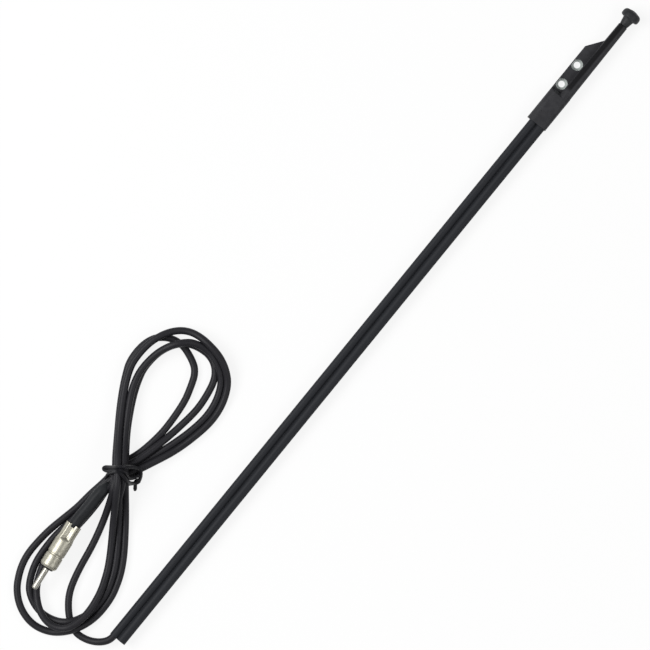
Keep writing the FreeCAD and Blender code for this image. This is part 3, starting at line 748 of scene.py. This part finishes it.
# plated or drawn metal: draw marks along the piece, tarnish in clouds, pits and wiped patches in the gloss
def drawnMetal(name):
    m = metals[name]
    finish = Finish(name, Metallic=1.0)
    marks = finish.noise(m["grain"], 4.0, 0.65, finish.stretched(m["stretch"], m["turn"]))
    cloud = finish.noise(metalMarks["cloud"], 5.0, 0.65)
    pits = finish.noise(metalMarks["pits"], 3.0, 0.6).between(0.63, 0.76)
    tarnish = cloud.between(0.4, 0.75) * 0.6 + pits * 0.5
    finish.set(Base_Color=finish.blend(tarnish, m["colour"], m["dull"]),
               Roughness=m["gloss"] + cloud * 0.12 + marks * 0.1 + pits * 0.15)
    finish.bumped(marks - pits * 0.6, m["depth"])
    return finish.material


insulation = {"colour": (0.72, 0.72, 0.69), "pale": (0.86, 0.86, 0.84), "gloss": 0.35, "cloud": 0.8, "depth": 0.01}


# milky polythene round the cable's core
def coreInsulation():
    n = insulation
    finish = Finish("coreInsulation", IOR=1.5)
    cloud = finish.noise(n["cloud"], 3.0, 0.6)
    finish.set(Base_Color=finish.blend(cloud, n["colour"], n["pale"]), Roughness=n["gloss"] + cloud * 0.2)
    finish.bumped(cloud, n["depth"])
    return finish.material


def dress(material, *names):
    for name in names:
        piece = bpy.data.objects[name]
        piece.data.materials.clear()
        piece.data.materials.append(material)


dress(mouldedPlastic("bracket"), "bracket", "tube_end_plug")
dress(mouldedPlastic("knob"), "mast_knob", "knobGapShadeRing")
dress(mouldedPlastic("tie"), "wireTie", "cable_tie")
dress(mouldedPlastic("insulator"), "plugInsulator", "plug_insulator")
dress(mouldedPlastic("boot"), "plugBoot", "plug_boot")
dress(extrudedVinyl(), "sheath")
dress(cableJacket(), "cable", "coax_cable", "cable_lead", "cable_hank")
dress(drawnMetal("shellNickel"), "plugShell", "plug_shell")
dress(drawnMetal("pinNickel"), "plugPin", "plug_pin")
dress(drawnMetal("zincPlate"), "earth_plate")
dress(drawnMetal("brassTube"), "guide_tube")
dress(drawnMetal("chromeTube"), "middle_tube", "mast_rod")
dress(drawnMetal("bronze"), "middle_tube_bush", "middle_tube_spring", "mast_rod_bush", "mast_rod_spring",
      "contact_clip")
dress(drawnMetal("copper"), "coax_core", "braid_tail")
dress(coreInsulation(), "coax_insulation")

print("finishes on", len(bpy.data.materials), "materials")


# Floor, lamps and the white of the studio

# places and sizes here are metres
white = (1.0, 1.0, 1.0, 1.0)
studio = {
    "floorSize": 3.0,
    "floorColour": (0.86, 0.86, 0.86, 1.0),
    "floorWhite": 0.86,  # the share of plain white in what the camera sees of the floor, the rest takes the shadow
    "world": 0.32,
    "lamps": [
        {"name": "leftSoftbox", "place": (-0.80, 1.15, 1.50), "size": (1.6, 0.9), "power": 36.0},
        {"name": "rightSoftbox", "place": (0.30, -1.10, 1.30), "size": (1.6, 0.7), "power": 9.0},
    ],
    "aim": (-0.2, 0.0, 0.0),
}


def makeFloor():
    bm = bmesh.new()
    bmesh.ops.create_grid(bm, x_segments=1, y_segments=1, size=studio["floorSize"])
    floor = meshObject("floor", bm)
    finish = Finish("floorPaper", Base_Color=studio["floorColour"], Roughness=0.9, Specular_IOR_Level=0.2)
    glow = finish.node("Emission", {}, {"Color": white, "Strength": 1.0})
    paper = Wire(finish, finish.shader.outputs[0])
    seen = finish.node("LightPath", {}, {}, "Is Camera Ray")
    for kind in ("Is Glossy Ray", "Is Transmission Ray"):
        seen = seen + finish.node("LightPath", {}, {}, kind)
    surface = finish.node("MixShader", {}, {0: seen * studio["floorWhite"], 1: paper, 2: glow})
    finish.feed(finish.tree.nodes["Material Output"].inputs[0], surface)
    floor.data.materials.append(finish.material)


def lightScene():
    world = bpy.data.worlds.new("studio")
    bpy.context.scene.world = world
    world.use_nodes = True
    background = world.node_tree.nodes["Background"]
    background.inputs["Color"].default_value = white
    background.inputs["Strength"].default_value = studio["world"]
    for box in studio["lamps"]:
        lamp = bpy.data.lights.new(box["name"], "AREA")
        lamp.shape = "RECTANGLE"
        lamp.size, lamp.size_y = box["size"]
        lamp.energy = box["power"]
        holder = bpy.data.objects.new(box["name"], lamp)
        holder.location = box["place"]
        holder.rotation_euler = (Vector(box["place"]) - Vector(studio["aim"])).to_track_quat("Z", "Y").to_euler()
        bpy.context.scene.collection.objects.link(holder)


makeFloor()
lightScene()
print("studio lit")
